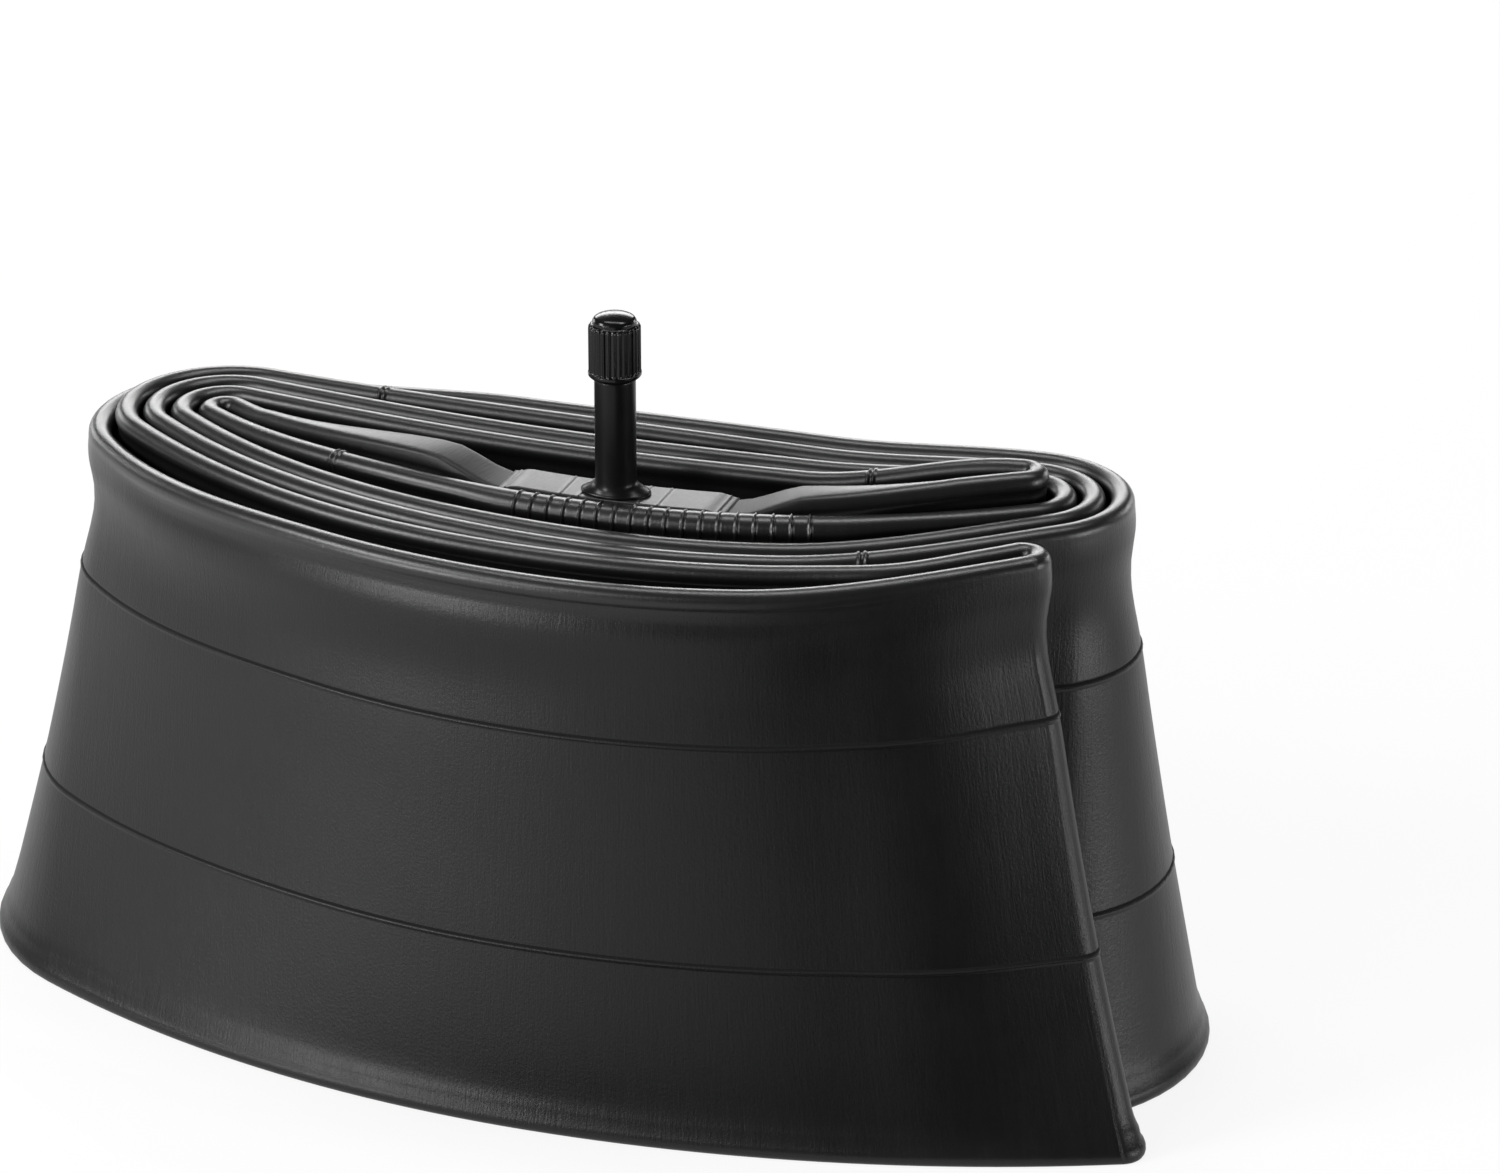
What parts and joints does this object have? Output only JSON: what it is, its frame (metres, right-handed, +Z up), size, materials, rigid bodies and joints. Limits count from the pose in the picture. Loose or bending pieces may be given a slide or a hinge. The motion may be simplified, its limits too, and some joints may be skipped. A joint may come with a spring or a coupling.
{
  "type": "bicycle inner tube",
  "caption": "Deflated bicycle inner tube folded into a standing pack, with a rubber-covered Schrader valve and a fluted screw-on dust cap.",
  "frame": {"origin": "on the floor, under the middle of the pack's outline", "axes": "+X along the pack's length, towards the tip of the front flap; +Y towards the back lays; +Z up, along the valve"},
  "size_m": [0.2544, 0.1198, 0.148],
  "materials": {
    "tube_rubber": "satin",
    "patch_rubber": "satin",
    "stem_rubber": "satin",
    "insert_brass": "satin",
    "core_brass": "satin",
    "pin_steel": "satin",
    "spring_steel": "satin",
    "gasket_plastic": "matte",
    "seal_rubber": "matte",
    "cap_plastic": "gloss",
    "liner_rubber": "matte"
  },
  "bodies": {
    "tube": {"tube": "tube_rubber", "valve_patch": "patch_rubber", "stem_cover": "stem_rubber", "stem_insert": "insert_brass"},
    "core": {"core_barrel": "core_brass", "core_gasket": "gasket_plastic", "core_spring": "spring_steel"},
    "core_plug": {"core_plug": "core_brass"},
    "core_pin": {"core_pin": "pin_steel", "core_cup": "core_brass", "cup_seal": "seal_rubber"},
    "cap_liner": {"cap_liner": "liner_rubber"},
    "dust_cap": {"dust_cap": "cap_plastic"}
  },
  "joints": [
    {"name": "cap_lift", "type": "slide", "parent": "tube", "child": "cap_liner", "axis": [0, 0, 1], "range_m": [0, 0.00873]},
    {"name": "cap_turn", "type": "hinge", "parent": "cap_liner", "child": "dust_cap", "pos_m": [0.01174, -0.00568, 0.1353], "axis": [0, 0, 1], "range_deg": [0, 3960]},
    {"name": "core_lift", "type": "slide", "parent": "tube", "child": "core", "axis": [0, 0, 1], "range_m": [0, 0.00212]},
    {"name": "core_turn", "type": "hinge", "parent": "core", "child": "core_plug", "pos_m": [0.01174, -0.00568, 0.1391], "axis": [0, 0, 1], "range_deg": [0, 1080]},
    {"name": "pin_press", "type": "slide", "parent": "core", "child": "core_pin", "axis": [0, 0, -1], "range_m": [0, 0.0012], "stiffness_N_per_m": 1500, "springref_m": -0.0005, "deforming": ["core_spring"]}
  ],
  "couplings": [
    {"joint": "cap_turn", "follows": "cap_lift", "rad_per_m": 7915.8},
    {"joint": "core_turn", "follows": "core_lift", "rad_per_m": 8905.3}
  ]
}
